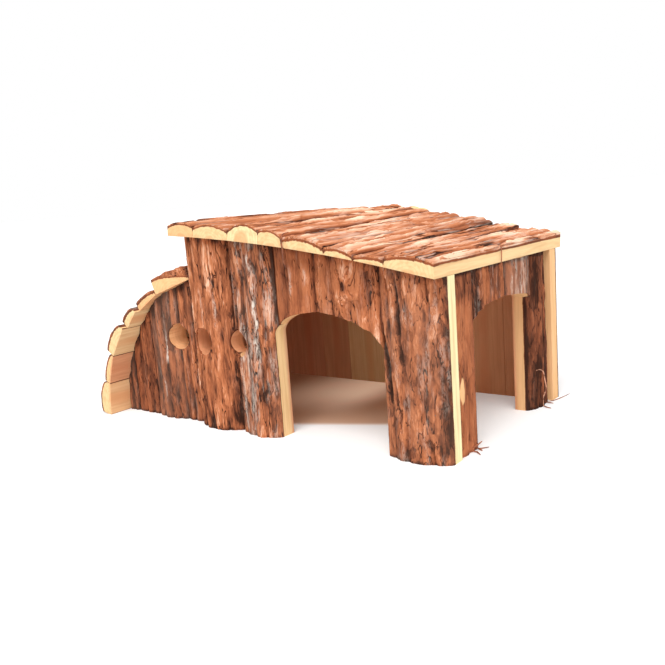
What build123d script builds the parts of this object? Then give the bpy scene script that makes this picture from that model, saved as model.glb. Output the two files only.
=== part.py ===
from build123d import *
import math
import os

# A small pet's hideaway, nailed together from half-round slabs with the bark left on.
# All sizes are millimetres. x runs along the front wall, y from front to back, z up.
# Working zero is on the ground, at the step where the cabin meets the lean-to, midway
# between the front and back walls. At the end the pieces move to the outline's centre.

# Cabin
cabin_length = 262.6
inner_depth = 176.4
wall_height_left = 174.6
wall_height_right = 138.4
roof_bow = 5.2
joint_gap = 0.3

# Bark: each slab has a bark height at its left edge, crown and right edge, and the shares
# of its width where long furrows run. Between two furrows the bark swells into a ridge.
furrow_depth = 1.3
ridge_rise = 0.5

# Roof slabs from the left end. The last one takes what is left of the length.
# The crown's height also has a share at the back, because a log is seldom sawn parallel
# to its axis.
roof_left_overhang = 2.8
roof_front_overhang = 28.8
roof_back_overhang = 25.8
roof_widths = (31.6, 40.6, 33.6, 23.6, 41.6, 26.8, 26.4)
roof_barks = (
    (8.5, 12.5, 9.5, (0.56,)),
    (8.5, 12.5, 8.0, (0.30, 0.64)),
    (8.0, 15.5, 10.5, (0.40, 0.74)),
    (11.0, 13.0, 8.5, (0.48,)),
    (7.5, 10.8, 6.0, (0.28, 0.52, 0.79)),
    (5.5, 7.4, 3.5, (0.42, 0.72)),
    (3.5, 6.4, 6.0, (0.34, 0.66)),
    (8.0, 12.5, 11.6, (0.24, 0.47, 0.76)),
)
roof_back_shares = (0.96, 1.1, 1.13, 1.37, 1.43, 2.0, 1.92, 1.05)

# Front wall slabs. The lean-to's edge slab and the corner post take what is left.
front_lean_outer_width = 32.6
front_lean_inner_width = 41.0
front_lean_strip_width = 23.0
front_tall_width = 54.0
front_lintel_left_width = 41.0
front_barks = {
    "front_lean_edge_slab": (6.0, 9.0, 7.0, (0.55,)),
    "front_lean_outer_slab": (7.0, 9.5, 7.5, (0.38, 0.71)),
    "front_lean_inner_slab": (8.0, 14.0, 9.0, (0.27, 0.58, 0.80)),
    "front_lean_strip": (8.5, 11.0, 8.5, (0.46,)),
    "front_tall_slab": (11.5, 22.5, 12.0, (0.23, 0.46, 0.77)),
    "front_door_post": (12.0, 22.5, 12.0, (0.17, 0.42, 0.68)),
    "front_lintel_left": (11.0, 17.0, 11.0, (0.36, 0.67)),
    "front_lintel_right": (11.0, 19.0, 12.0, (0.33, 0.61, 0.84)),
    "front_corner_post": (13.0, 22.0, 12.0, (0.16, 0.39, 0.72)),
}

# Back wall slabs, named from the left as seen from the front
back_lean_middle_width = 39.0
back_lean_inner_width = 43.0
back_tall_widths = (35.0, 53.0, 43.0, 41.0, 44.0)
back_barks = {
    "back_lean_edge_slab": (7.0, 11.0, 6.0, (0.52,)),
    "back_lean_middle_slab": (8.0, 15.0, 7.0, (0.35, 0.69)),
    "back_lean_inner_slab": (9.0, 16.0, 8.0, (0.29, 0.63)),
    "back_tall_slab_1": (11.0, 18.0, 9.0, (0.41, 0.73)),
    "back_tall_slab_2": (12.0, 20.0, 11.0, (0.25, 0.52, 0.78)),
    "back_tall_slab_3": (12.0, 19.0, 12.0, (0.33, 0.70)),
    "back_tall_slab_4": (11.0, 17.0, 12.0, (0.28, 0.60)),
    "back_tall_slab_5": (12.0, 19.0, 11.0, (0.22, 0.49, 0.77)),
    "back_corner_post": (12.0, 20.0, 14.0, (0.26, 0.57, 0.81)),
}

# Front door: a low basket arch through the door post's edge and both lintels
front_door_left = 100.0
front_door_width = 107.0
front_door_height = 109.3
front_door_crown_share = 0.45
front_door_left_rise = 20.0
front_door_right_rise = 29.0
front_door_bite = 3.0

# Right wall, set between the front and back walls, with its own arched door
side_wall_setback = 19.0
side_front_post_width = 31.0
side_door_width = 105.2
side_door_height = 110.0
side_door_crown_share = 0.5
side_door_front_rise = 13.0
side_door_back_rise = 9.0
side_lintel_front_width = 20.0
side_lintel_middle_width = 39.0
side_barks = {
    "side_front_post": (15.5, 17.5, 16.0, (0.55,)),
    "side_lintel_front": (15.0, 17.0, 14.0, (0.44,)),
    "side_lintel_middle": (14.0, 17.0, 14.0, (0.34, 0.68)),
    "side_lintel_back": (15.0, 21.0, 16.0, (0.31, 0.64)),
    "side_back_post": (11.0, 18.5, 12.0, (0.33, 0.61)),
}

# Round windows, drilled through the assembled front wall
window_diameter = 25.0
window_height = 80.0
window_pitch = 42.0
window_first = -23.0
window_count = 3

# Lean-to slats from the ground up. The walls' rounded ends are cut to their flats.
# Each has a bark height at its low edge, crown and high edge.
slat_widths = (32.7, 29.8, 33.9, 21.6, 30.4, 40.3)
slat_slopes = (82.4, 70.6, 55.2, 48.6, 32.0, 20.2)
slat_barks = (
    (12.5, 15.5, 9.0, (0.38, 0.70)),
    (7.5, 8.8, 5.0, (0.53,)),
    (10.0, 12.6, 6.5, (0.32, 0.66)),
    (9.0, 10.0, 5.5, (0.50,)),
    (8.0, 8.6, 5.0, (0.43,)),
    (14.0, 15.0, 12.0, (0.29, 0.62)),
)
slat_front_overhangs = (32.3, 32.3, 32.0, 26.0, 20.8, 20.8)
slat_back_overhang = 25.8
top_slat_slant = 8.8  # how much shorter the top slat is at its high edge, at the front

# Gable slab, which closes the cabin's left side above the lean-to
gable_lap = 12.0
gable_bark = (9.0, 13.0, 9.0, (0.35, 0.68))

# Brads: thin headless nails of flat wire, sunk a little below the bark
brad_width = 1.3
brad_thickness = 1.0
brad_clearance = 0.05
brad_length = 25.0
brad_sink = 0.5
roof_brad_inset = 6.0
slat_brad_inset = 4.0
side_brad_inset = 8.0
corner_brad_heights = (38.0, 98.0)
side_brad_places = (-72.0, 22.0, 68.0)

# Places that follow from the sizes above
front_plane = -inner_depth / 2
back_plane = inner_depth / 2
roof_front = front_plane - roof_front_overhang
roof_back = back_plane + roof_back_overhang
front_door_right = front_door_left + front_door_width
side_plane = cabin_length - side_wall_setback
side_door_front = front_plane + side_front_post_width
side_door_back = side_door_front + side_door_width
cut_reach = inner_depth
full_height = wall_height_left + roof_bow


def running_sum(start, steps):
    """Places reached by adding each step to the one before."""
    places = [start]
    for step in steps:
        places.append(places[-1] + step)
    return places


def roof_height(x):
    """Height of the walls' tops: a straight fall with a shallow bow."""
    share = x / cabin_length
    straight = wall_height_left + (wall_height_right - wall_height_left) * share
    return straight + 4 * roof_bow * share * (1 - share)


# The roof slabs' flat undersides, and the slats' flat inner faces, as lines in x and z
roof_line = [
    (x, roof_height(x))
    for x in running_sum(-roof_left_overhang, roof_widths) + [cabin_length]
]
slat_runs = [w * math.cos(math.radians(a)) for w, a in zip(slat_widths, slat_slopes)]
slat_rises = [w * math.sin(math.radians(a)) for w, a in zip(slat_widths, slat_slopes)]
lean_length = sum(slat_runs)
slat_line = list(zip(running_sum(-lean_length, slat_runs), running_sum(0, slat_rises)))
lean_height = slat_line[-1][1]


def prism_along_y(points):
    """Solid with this outline in x and z, deeper than the house both ways."""
    outline = make_face(Polyline(*[(x, 0, z) for x, z in points], close=True))
    return extrude(outline, amount=cut_reach, dir=(0, 1, 0), both=True)


def beyond(start, end, distance):
    """Point past end on the line from start to end."""
    share = distance / (end[0] - start[0])
    return (end[0] + distance, end[1] + (end[1] - start[1]) * share)


# What the walls keep: the space under the roof slabs and the space inside the slats
roof_line_end = beyond(roof_line[-2], roof_line[-1], side_wall_setback)
under_roof = prism_along_y(
    [(roof_line[0][0], 0)] + roof_line + [roof_line_end, (roof_line_end[0], 0)]
)
under_slats = prism_along_y(slat_line + [(0, 0)])


def bark_arcs(width, bark):
    """Arcs of a slab's bark in cross section, from furrow to furrow, left to right."""
    left_edge, crown, right_edge, furrows = bark
    back = ThreePointArc((0, left_edge), (width / 2, crown), (width, right_edge))

    def on_back(share, lift):
        across = share * width - back.arc_center.X
        return (share * width, back.arc_center.Y + math.sqrt(back.radius**2 - across**2) + lift)

    dips = [(0, 0)] + [(share, -furrow_depth) for share in furrows] + [(1, 0)]
    return [
        ThreePointArc(on_back(*dip), on_back((dip[0] + after[0]) / 2, ridge_rise), on_back(*after))
        for dip, after in zip(dips, dips[1:])
    ]


def turned_round(bark):
    """The same bark seen from the other end of the slab."""
    left_edge, crown, right_edge, furrows = bark
    return (right_edge, crown, left_edge, tuple(1 - share for share in reversed(furrows)))


def bark_height(place, width, bark):
    """Height of the bark at a place across the slab's width."""
    for arc in bark_arcs(width, bark):
        if place <= (arc @ 1).X:
            return arc.arc_center.Y + math.sqrt(arc.radius**2 - (place - arc.arc_center.X) ** 2)


def slab(width, length, bark, back_share=1.0):
    """Slab on its sawn face, width in x and length in y: the side of a furrowed log.

    The log passes through the three bark heights at the near end, and its axis climbs or
    falls until the crown at the far end is back_share of the near one.
    """
    crown = bark[1]
    arcs = bark_arcs(width, bark)
    under = -2 * crown
    sides = Polyline(arcs[-1] @ 1, (width, under), (0, under), arcs[0] @ 0)
    near_end = Plane(origin=(0, 0, 0), x_dir=(1, 0, 0), z_dir=(0, -length, crown * (1 - back_share)))
    log = extrude(near_end * make_face([*arcs, sides]), amount=2 * length, both=True)
    sawn = Box(width - joint_gap, length, 4 * crown, align=(Align.CENTER, Align.MIN, Align.MIN))
    return Pos(width / 2, 0, 0) * sawn & log


def across_walls(start, end, y):
    """Plane for a slab that lies across the walls, flat from start to end in x and z."""
    run = end[0] - start[0]
    rise = end[1] - start[1]
    return Plane(origin=(start[0], y, start[1]), x_dir=(run, 0, rise), z_dir=(-rise, 0, run))


def front_wall_plane(x):
    """Plane for an upright slab of the front wall whose left side is at x."""
    return Plane(origin=(x, front_plane, 0), x_dir=(1, 0, 0), z_dir=(0, -1, 0))


def back_wall_plane(x):
    """Plane for an upright slab of the back wall whose right side is at x."""
    return Plane(origin=(x, back_plane, 0), x_dir=(-1, 0, 0), z_dir=(0, 1, 0))


def side_wall_plane(y):
    """Plane for an upright slab of the right wall whose front side is at y."""
    return Plane(origin=(side_plane, y, 0), x_dir=(0, 1, 0), z_dir=(1, 0, 0))


def arch_cutter(plane, left, width, height, crown_share, left_rise, right_rise):
    """Door opening: upright sides, and a quarter ellipse each side of the crown."""
    crown = left + width * crown_share
    right = left + width
    left_arc = EllipticalCenterArc(
        (crown, height - left_rise), crown - left, left_rise, start_angle=90, arc_size=90
    )
    right_arc = EllipticalCenterArc(
        (crown, height - right_rise), right - crown, right_rise, start_angle=0, arc_size=90
    )
    sides = Polyline(left_arc @ 1, (left, -height), (right, -height), right_arc @ 0)
    return extrude(plane * make_face([left_arc, right_arc, sides]), amount=cut_reach / 3, both=True)


def window_cutter(number):
    """One drilled window of the row."""
    x = window_first + window_pitch * number
    plane = Plane(origin=(x, front_plane, window_height), z_dir=(0, -1, 0))
    return extrude(plane * Circle(window_diameter / 2), amount=cut_reach / 3, both=True)


front_door = arch_cutter(
    front_wall_plane(0),
    front_door_left,
    front_door_width,
    front_door_height,
    front_door_crown_share,
    front_door_left_rise,
    front_door_right_rise,
)
side_door = arch_cutter(
    side_wall_plane(0),
    side_door_front,
    side_door_width,
    side_door_height,
    side_door_crown_share,
    side_door_front_rise,
    side_door_back_rise,
)
windows = [window_cutter(number) for number in range(window_count)]

pieces = {}
brads = {}
brad_holes = []


def drive_brad(group, plane, x, y, top):
    """Add one brad to a group, pointing down the plane's normal, with its hole."""
    tip = plane * Pos(x, y, top - brad_length)
    wire = Rectangle(brad_width, brad_thickness)
    brads.setdefault(group, []).append(extrude(tip * wire, amount=brad_length))
    hole = Rectangle(brad_width + 2 * brad_clearance, brad_thickness + 2 * brad_clearance)
    brad_holes.append(extrude(tip * hole, amount=brad_length + 4 * brad_sink))


# Front wall: four slabs in the lean-to, then two tall ones, two over the door, a corner
front_places = running_sum(
    -lean_length,
    [
        lean_length - front_lean_outer_width - front_lean_inner_width - front_lean_strip_width,
        front_lean_outer_width,
        front_lean_inner_width,
        front_lean_strip_width,
        front_tall_width,
        front_door_left + front_door_bite - front_tall_width,
        front_lintel_left_width,
        front_door_width - front_door_bite - front_lintel_left_width,
        cabin_length - front_door_right,
    ],
)
for name, left, right in zip(front_barks, front_places, front_places[1:]):
    blank = front_wall_plane(left) * slab(right - left, full_height, front_barks[name])
    pieces[name] = blank & (under_slats if "lean" in name else under_roof)

for name in ("front_door_post", "front_lintel_left", "front_lintel_right"):
    pieces[name] = pieces[name] - front_door
for number, names in enumerate(
    (
        ("front_lean_inner_slab", "front_lean_strip"),
        ("front_tall_slab",),
        ("front_tall_slab", "front_door_post"),
    )
):
    for name in names:
        pieces[name] = pieces[name] - windows[number]

# Back wall: the same outline with no openings
back_places = running_sum(
    -lean_length,
    [
        lean_length - back_lean_middle_width - back_lean_inner_width,
        back_lean_middle_width,
        back_lean_inner_width,
        *back_tall_widths,
        cabin_length - sum(back_tall_widths),
    ],
)
for name, left, right in zip(back_barks, back_places, back_places[1:]):
    blank = back_wall_plane(right) * slab(right - left, full_height, turned_round(back_barks[name]))
    pieces[name] = blank & (under_slats if "lean" in name else under_roof)

# Right wall: a post, three short slabs over the door, and a post
side_places = running_sum(
    front_plane,
    [
        side_front_post_width,
        side_lintel_front_width,
        side_lintel_middle_width,
        side_door_width - side_lintel_front_width - side_lintel_middle_width,
        back_plane - side_door_back,
    ],
)
for name, front, back in zip(side_barks, side_places, side_places[1:]):
    blank = side_wall_plane(front) * slab(back - front, full_height, side_barks[name])
    pieces[name] = blank & under_roof
    if "lintel" in name:
        pieces[name] = pieces[name] - side_door

# Gable slab, lying on its edge between the front and back walls, bark to the left
gable_bottom = lean_height - gable_lap
gable_plane = Plane(
    origin=(gable_bark[1] + joint_gap, front_plane, gable_bottom),
    x_dir=(0, 0, 1),
    z_dir=(-1, 0, 0),
)
gable_height = wall_height_left - gable_bottom
pieces["gable_slab"] = gable_plane * slab(gable_height, inner_depth, gable_bark) & under_roof

# Roof: slabs from front to back, each with a brad into either wall
roof_depth = roof_back - roof_front
for number, (start, end) in enumerate(zip(roof_line, roof_line[1:])):
    plane = across_walls(start, end, roof_front)
    width = math.dist(start, end)
    bark = roof_barks[number]
    back_share = roof_back_shares[number]
    pieces[f"roof_slab_{number + 1}"] = plane * slab(width, roof_depth, bark, back_share)
    for group, y in (
        ("roof_front_brads", roof_front_overhang - roof_brad_inset),
        ("roof_back_brads", roof_depth - roof_back_overhang + roof_brad_inset),
    ):
        climb = bark[1] * (back_share - 1) * y / roof_depth
        top = bark_height(width / 2, width, bark) + climb
        drive_brad(group, plane, width / 2, y, top - brad_sink)

# The last roof slab is sawn plumb with the end of the walls
inside_end = Pos(cabin_length, 0, 0) * Box(
    cabin_length, 4 * cut_reach, 4 * cut_reach, align=(Align.MAX, Align.CENTER, Align.CENTER)
)
pieces[f"roof_slab_{len(roof_barks)}"] &= inside_end

# Brads from the last roof slab down into the right wall
last_plane = across_walls(roof_line[-2], roof_line[-1], 0)
last_width = math.dist(roof_line[-2], roof_line[-1])
last_place = last_width - side_wall_setback + side_brad_inset
for y in side_brad_places:
    top = bark_height(last_place, last_width, roof_barks[-1])
    drive_brad("roof_side_brads", last_plane, last_place, y, top - brad_sink)

# Lean-to: slats from front to back, each with a brad into either wall's rounded end
for number, (start, end) in enumerate(zip(slat_line, slat_line[1:])):
    overhang = slat_front_overhangs[number]
    plane = across_walls(start, end, front_plane - overhang)
    width = math.dist(start, end)
    bark = slat_barks[number]
    length = overhang + inner_depth + slat_back_overhang
    ground = Pos(0, 0, cut_reach) * Box(4 * cut_reach, 4 * cut_reach, 2 * cut_reach)
    slat = slab(width, length, bark)
    if number == len(slat_widths) - 1:
        corners = [(0, 0), (width, top_slat_slant), (width, length), (0, length)]
        slat &= extrude(make_face(Polyline(*corners, close=True)), amount=2 * bark[1])
    pieces[f"lean_to_slat_{number + 1}"] = plane * slat & ground
    for group, y in (
        ("lean_to_front_brads", overhang - slat_brad_inset),
        ("lean_to_back_brads", overhang + inner_depth + slat_brad_inset),
    ):
        top = bark_height(width / 2, width, bark)
        drive_brad(group, plane, width / 2, y, top - brad_sink)

# Brads through the corner posts into the right wall, and through the walls into the gable
for group, name, wall_plane, places in (
    ("front_corner_brads", "front_corner_post", front_wall_plane(0), (front_door_right, cabin_length)),
    ("back_corner_brads", "back_corner_post", back_wall_plane(0), (back_places[-2], cabin_length)),
):
    barks = front_barks if name in front_barks else back_barks
    x = side_plane + side_brad_inset
    top = bark_height(x - places[0], places[1] - places[0], barks[name]) - brad_sink
    facing = 1 if name in front_barks else -1
    for z in corner_brad_heights:
        drive_brad(group, wall_plane, facing * x, z, top)

gable_brad_x = gable_bark[1] / 2
gable_brad_z = gable_bottom + gable_height / 2
front_top = bark_height(gable_brad_x, front_tall_width, front_barks["front_tall_slab"])
back_top = bark_height(gable_brad_x, back_tall_widths[0], back_barks["back_tall_slab_1"])
drive_brad("gable_brads", front_wall_plane(0), gable_brad_x, gable_brad_z, front_top - brad_sink)
drive_brad("gable_brads", back_wall_plane(0), -gable_brad_x, gable_brad_z, back_top - brad_sink)


def boxes_meet(first, second):
    """Whether two bounding boxes share any space."""
    return all(
        getattr(first.min, axis) < getattr(second.max, axis)
        and getattr(second.min, axis) < getattr(first.max, axis)
        for axis in "XYZ"
    )


for hole in brad_holes:
    hole_box = hole.bounding_box()
    for name, piece in pieces.items():
        if boxes_meet(hole_box, piece.bounding_box()):
            pieces[name] = piece - hole

for group, members in brads.items():
    pieces[group] = Compound(members)

# Move the working zero to the middle of the outline, on the ground
boxes = [piece.bounding_box() for piece in pieces.values()]
centre_x = (min(box.min.X for box in boxes) + max(box.max.X for box in boxes)) / 2
centre_y = (min(box.min.Y for box in boxes) + max(box.max.Y for box in boxes)) / 2
to_centre = Pos(-centre_x, -centre_y, 0)

os.makedirs("parts", exist_ok=True)
for name, piece in pieces.items():
    export_step(to_centre * piece, f"parts/{name}.step")

print(f"centre at x {centre_x:.2f}, y {centre_y:.2f}, lean-to {lean_length:.1f} by {lean_height:.1f}")
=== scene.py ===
import math

import bpy
import numpy as np
from mathutils import Euler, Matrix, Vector


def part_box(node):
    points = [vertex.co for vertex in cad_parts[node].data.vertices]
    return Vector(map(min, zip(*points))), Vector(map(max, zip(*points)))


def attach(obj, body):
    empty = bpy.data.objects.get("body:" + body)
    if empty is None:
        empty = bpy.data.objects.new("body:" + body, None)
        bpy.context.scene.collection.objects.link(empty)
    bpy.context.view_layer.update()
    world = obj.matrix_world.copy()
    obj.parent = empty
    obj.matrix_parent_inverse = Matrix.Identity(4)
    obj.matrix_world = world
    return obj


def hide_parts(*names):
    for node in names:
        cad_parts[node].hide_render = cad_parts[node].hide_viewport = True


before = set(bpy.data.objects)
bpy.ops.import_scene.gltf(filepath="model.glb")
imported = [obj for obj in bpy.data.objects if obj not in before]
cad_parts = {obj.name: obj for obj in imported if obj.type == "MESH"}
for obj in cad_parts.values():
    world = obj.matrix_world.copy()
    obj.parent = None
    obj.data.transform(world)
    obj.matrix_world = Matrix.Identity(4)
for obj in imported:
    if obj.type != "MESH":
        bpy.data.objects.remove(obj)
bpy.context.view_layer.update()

# A small pet's hideaway of half-round slabs. Places and sizes below are millimetres,
# and become metres where a mesh is made.
mm = 0.001

house = {
    "length": 262.6,  # cabin, along the front wall
    "highWall": 174.6,  # top of the walls at the step
    "lowWall": 138.4,  # top of the walls at the side door
    "roofBow": 5.2,
    "roofWidths": (31.6, 40.6, 33.6, 23.6, 41.6, 26.8, 26.4),
    "roofOverhang": 2.8,
    "slatWidths": (32.7, 29.8, 33.9, 21.6, 30.4, 40.3),
    "slatSlopes": (82.4, 70.6, 55.2, 48.6, 32.0, 20.2),
    "jointGap": 0.3,
    "seat": 0.25,  # the walls' tops stay this far under the roof and the slats
    "windowDiameter": 25.0,
    "windowHeight": 80.0,
    "windowPlaces": (-23.0, 19.0, 61.0),  # from the step
}

frontDoor = {"left": 100.0, "width": 107.0, "height": 109.3, "crown": 0.45, "rises": (20.0, 29.0)}
sideDoor = {"left": 31.0, "width": 105.2, "height": 110.0, "crown": 0.5, "rises": (13.0, 9.0)}


def corners(node):
    # lowest and highest corner of a solid of the frame, in millimetres
    low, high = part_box(node)
    return np.array(low) / mm, np.array(high) / mm


edge = house["jointGap"] / 2  # from a slab's side to the middle of the joint
stepX = corners("front_tall_slab")[0][0] - edge
frontY = corners("front_corner_post")[1][1]
backY = corners("back_corner_post")[0][1]
sideX = corners("side_back_post")[0][0]

# the line of the walls' tops under the roof, and of the lean-to's curve under its slats
roofX = np.cumsum([-house["roofOverhang"], *house["roofWidths"]])
roofX = np.append(roofX, house["length"])
share = roofX / house["length"]
roofZ = house["highWall"] + (house["lowWall"] - house["highWall"]) * share
roofZ = roofZ + 4 * house["roofBow"] * share * (1 - share)
roofX = roofX + stepX
slopes = np.radians(house["slatSlopes"])
slatX = np.append(0, np.cumsum(house["slatWidths"] * np.cos(slopes)))
slatZ = np.append(0, np.cumsum(house["slatWidths"] * np.sin(slopes)))
slatX = slatX - slatX[-1] + stepX


def roofTop(x):
    return np.interp(x, roofX, roofZ)


def slatTop(x):
    return np.interp(x, slatX, slatZ)


def archTop(arch, place):
    # height of an arched doorway: each side of its crown is a quarter of an ellipse
    crown = arch["left"] + arch["width"] * arch["crown"]
    reach = np.where(place < crown, crown - arch["left"], arch["left"] + arch["width"] - crown)
    rise = np.where(place < crown, *arch["rises"])
    across = np.clip(np.abs(place - crown) / reach, 0, 1)
    return arch["height"] - rise + rise * np.sqrt(1 - across**2)


def archLeft(arch, height):
    # the left side of the same doorway at a height: upright, then the ellipse
    reach = arch["width"] * arch["crown"]
    rise = arch["rises"][0]
    climb = np.clip((height - arch["height"] + rise) / rise, 0, 1)
    return arch["left"] + reach * (1 - np.sqrt(1 - climb**2))


# Noise on a sheet: x runs across the grain and y along it


def chance(column, row, seed):
    # a steady number from 0 to 1 for each whole place: the fraction left of a large sine
    return np.modf(np.abs(np.sin(column * 127.1 + row * 311.7 + seed * 74.7) * 43758.5453))[0]


def ease(value):
    # 0 below 0, 1 above 1, and a smooth step between
    value = np.clip(value, 0, 1)
    return value * value * (3 - 2 * value)


def wave(x, y, seed):
    # smooth noise from -1 to 1: the chances of the four places round a point, blended
    column, row = np.floor(x), np.floor(y)
    a, b = ease(x - column), ease(y - row)
    low = chance(column, row, seed) * (1 - a) + chance(column + 1, row, seed) * a
    high = chance(column, row + 1, seed) * (1 - a) + chance(column + 1, row + 1, seed) * a
    return 2 * (low * (1 - b) + high * b) - 1


def layered(x, y, seed):
    # three sizes of the same noise, each half as long and half as strong
    return (wave(x, y, seed) + wave(2 * x, 2 * y, seed + 1) / 2 + wave(4 * x, 4 * y, seed + 2) / 4) / 1.75


def ripple(x, y, sizes, seed, noise=wave):
    # noise whose features measure the first two sizes, across the grain and along it
    return noise(x / sizes[0], y / sizes[1], seed)


def cells(x, y, seed):
    # one wandering point in each whole place: how much further the second nearest point
    # is than the nearest, which is 0 on the border of two cells, and the nearest's chance
    column, row = np.floor(x), np.floor(y)
    nearest, second = np.full(x.shape, 9.0), np.full(x.shape, 9.0)
    pick = np.zeros(x.shape)
    for moveX in (-1, 0, 1):
        for moveY in (-1, 0, 1):
            c, r = column + moveX, row + moveY
            away = np.hypot(c + chance(c, r, seed) - x, r + chance(c, r, seed + 9) - y)
            closer = away < nearest
            second = np.where(closer, nearest, np.minimum(second, away))
            pick = np.where(closer, chance(c, r, seed + 5), pick)
            nearest = np.where(closer, away, nearest)
    return second - nearest, pick


# Bark. Each kind gives the sizes of its features across and along, and their heights.
# A fissure also has its share of the bark's width, and its depth.
barkKinds = {
    "fibrous": {
        "swell": (14, 50, 0.5), "ridge": (4.6, 40, 0.7), "plate": (5.2, 34, 0.8), "flake": (4, 18, 0.4),
        "fissures": ((10, 70, 0.08, 1.4), (5, 40, 0.09, 0.7)), "fibre": (1.2, 10, 0.12), "wander": 1.6,
        "tone": 0.35,
    },
    "plated": {
        "swell": (16, 40, 0.6), "ridge": (6, 26, 0.4), "plate": (5, 12, 1.0), "flake": (4.5, 10, 0.4),
        "fissures": ((11, 55, 0.05, 1.6), (6, 24, 0.05, 0.5)), "fibre": (1.5, 6, 0.1), "wander": 2.4,
        "tone": 0.35,
    },
    "smooth": {
        "swell": (18, 50, 0.5), "ridge": (6, 40, 0.4), "plate": (9, 32, 0.6), "flake": (5, 16, 0.6),
        "fissures": ((11, 55, 0.05, 1.0), (5, 30, 0.05, 0.4)), "fibre": (1.5, 9, 0.12), "wander": 1.8,
        "tone": 0.3,
    },
    "stringy": {
        "swell": (20, 80, 1.0), "ridge": (8, 150, 1.0), "plate": (6.5, 60, 2.0), "flake": (5, 30, 1.2),
        "fissures": ((13, 170, 0.09, 2.2), (7, 100, 0.09, 1.2)), "fibre": (1.8, 30, 0.2), "wander": 2.6,
        "tone": 0.4,
    },
}
furrows = {"depth": 1.3, "rise": 0.5, "wander": 0.9, "bend": (34, 30)}  # and the ridges between them
drift = {"slow": (15, 42), "fast": (4, 9), "fibre": (1.5, 3), "fibreReach": 0.35, "along": (10, 35)}
knotShape = {"tall": 1.4, "push": 1.6, "spread": 2, "moundTall": 1.3, "hollow": 1.5, "hollowReach": 0.4}
relief = {"breaks": (9, 26), "deepest": 1.5, "splitBend": (9, 31, 1.2), "nickBend": (4, 90, 1.5)}


def calm(slab, s, t):
    # how much of the small relief is left near a sawn edge: the bark there is cut clean
    sides = slab.get("calmSides", (0.8, 0.8))
    left = 0.25 + 0.75 * ease(s / sides[0])
    right = 0.25 + 0.75 * ease((slab["width"] - s) / sides[1])
    if "calmEnds" not in slab:
        return left * right
    front, back = slab["calmEnds"]
    return left * right * (0.2 + 0.8 * ease(t / front)) * (0.2 + 0.8 * ease((slab["length"] - t) / back))


def wandered(slab, s, t):
    # the same place on the bark's slowly wandering grain, which closes round the knots
    wander, seed = barkKinds[slab["kind"]]["wander"], slab["seed"]
    x = s + wander * ripple(s, t, drift["slow"], seed + 1)
    x = x + wander / 3 * ripple(s, t, drift["fast"], seed + 2)
    x = x + drift["fibreReach"] * ripple(s, t, drift["fibre"], seed + 19)
    y = t + 3 * wander * ripple(s, t, drift["along"], seed + 3)
    for knotS, knotT, reach, height in slab.get("knots", ()):
        away = np.hypot(s - knotS, (t - knotT) / knotShape["tall"])
        near = np.exp(-((away / reach) ** 2))
        x = x + near * (s - knotS) * knotShape["push"]
        y = y * (1 - near) + near * (knotT + away * knotShape["spread"])
    return x, y


def barkPlates(slab, s, t):
    x, y = wandered(slab, s, t)
    return ripple(x, y, barkKinds[slab["kind"]]["plate"], slab["seed"] + 8, cells)


def barkRelief(slab, s, t):
    # height of the bark over its ridges, in millimetres: slow swells, folded ridges along
    # the grain, plates that stand at chance heights, fissures where a second folded noise
    # nears 0, terraced flakes and fine fibres, all on the wandering grain. Its hollows
    # fade out at 1.5 mm, before the slab's own roughness, knots, splits and nicks.
    kind, seed = barkKinds[slab["kind"]], slab["seed"]
    x, y = wandered(slab, s, t)
    lift = kind["swell"][2] * ripple(x, y, kind["swell"], seed + 4)
    lift += kind["ridge"][2] * (0.45 - np.abs(ripple(x, y, kind["ridge"], seed + 5, layered)) * 2)
    gap, pick = barkPlates(slab, s, t)
    lift += kind["plate"][2] * (pick - 0.5) * (0.5 + 0.5 * ease(gap / 0.25))
    for number, (wide, long, width, depth) in enumerate(kind["fissures"]):
        near = np.abs(ripple(x, y, (wide, long), seed + 22 + 3 * number, layered)) / width
        broken = ease(0.7 + 1.3 * ripple(s, t, relief["breaks"], seed + 28 + number))
        lift -= depth * (1 - ease(near)) * broken
    level = 2.5 * (1 + ripple(x, y, kind["flake"], seed + 11, layered))
    lift += kind["flake"][2] * (np.floor(level) + ease((level - np.floor(level) - 0.7) / 0.3) - 2.5) / 2
    lift += kind["fibre"][2] * ripple(x, y, kind["fibre"], seed + 15)
    deepest = relief["deepest"]
    lift = np.where(lift < 0, deepest * (np.exp(np.minimum(lift, 0) / deepest) - 1), lift)
    lift *= calm(slab, s, t) * slab.get("rough", 1.0)
    for knotS, knotT, reach, height in slab.get("knots", ()):
        away = np.hypot(s - knotS, (t - knotT) / knotShape["moundTall"]) / reach
        hollow = knotShape["hollow"] * np.exp(-((away / knotShape["hollowReach"]) ** 2))
        lift += height * (np.exp(-(away**2)) - hollow)
    for startS, startT, stopS, stopT, width, depth in slab.get("splits", ()):
        along = np.clip((t - startT) / (stopT - startT), 0, 1)
        bend = relief["splitBend"][2] * ripple(t, t, relief["splitBend"], seed + 20)
        middle = startS + (stopS - startS) * along + bend
        taper = np.sqrt(np.clip(4 * along * (1 - along), 0, 1))
        beside = np.abs(s - middle) / (width * (0.4 + taper))
        lift -= depth * taper * np.exp(-(beside**4))
    for start, stop, place, slope, width, depth in slab.get("nicks", ()):
        bend = relief["nickBend"][2] * ripple(s, t, relief["nickBend"], seed + 21)
        beside = (t - place - slope * s - bend) / width
        lift -= depth * ease((s - start) / 2) * ease((stop - s) / 2) * np.exp(-(beside**2))
    return lift


def circleThrough(first, second, third):
    # the centre is as far from each of the three points: two straight equations
    points = np.array([first, second, third])
    a = 2 * (points[1:] - points[0])
    b = (points[1:] ** 2).sum(axis=1) - (points[0] ** 2).sum()
    centre = np.linalg.solve(a, b)
    return centre, math.dist(centre, first)


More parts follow.
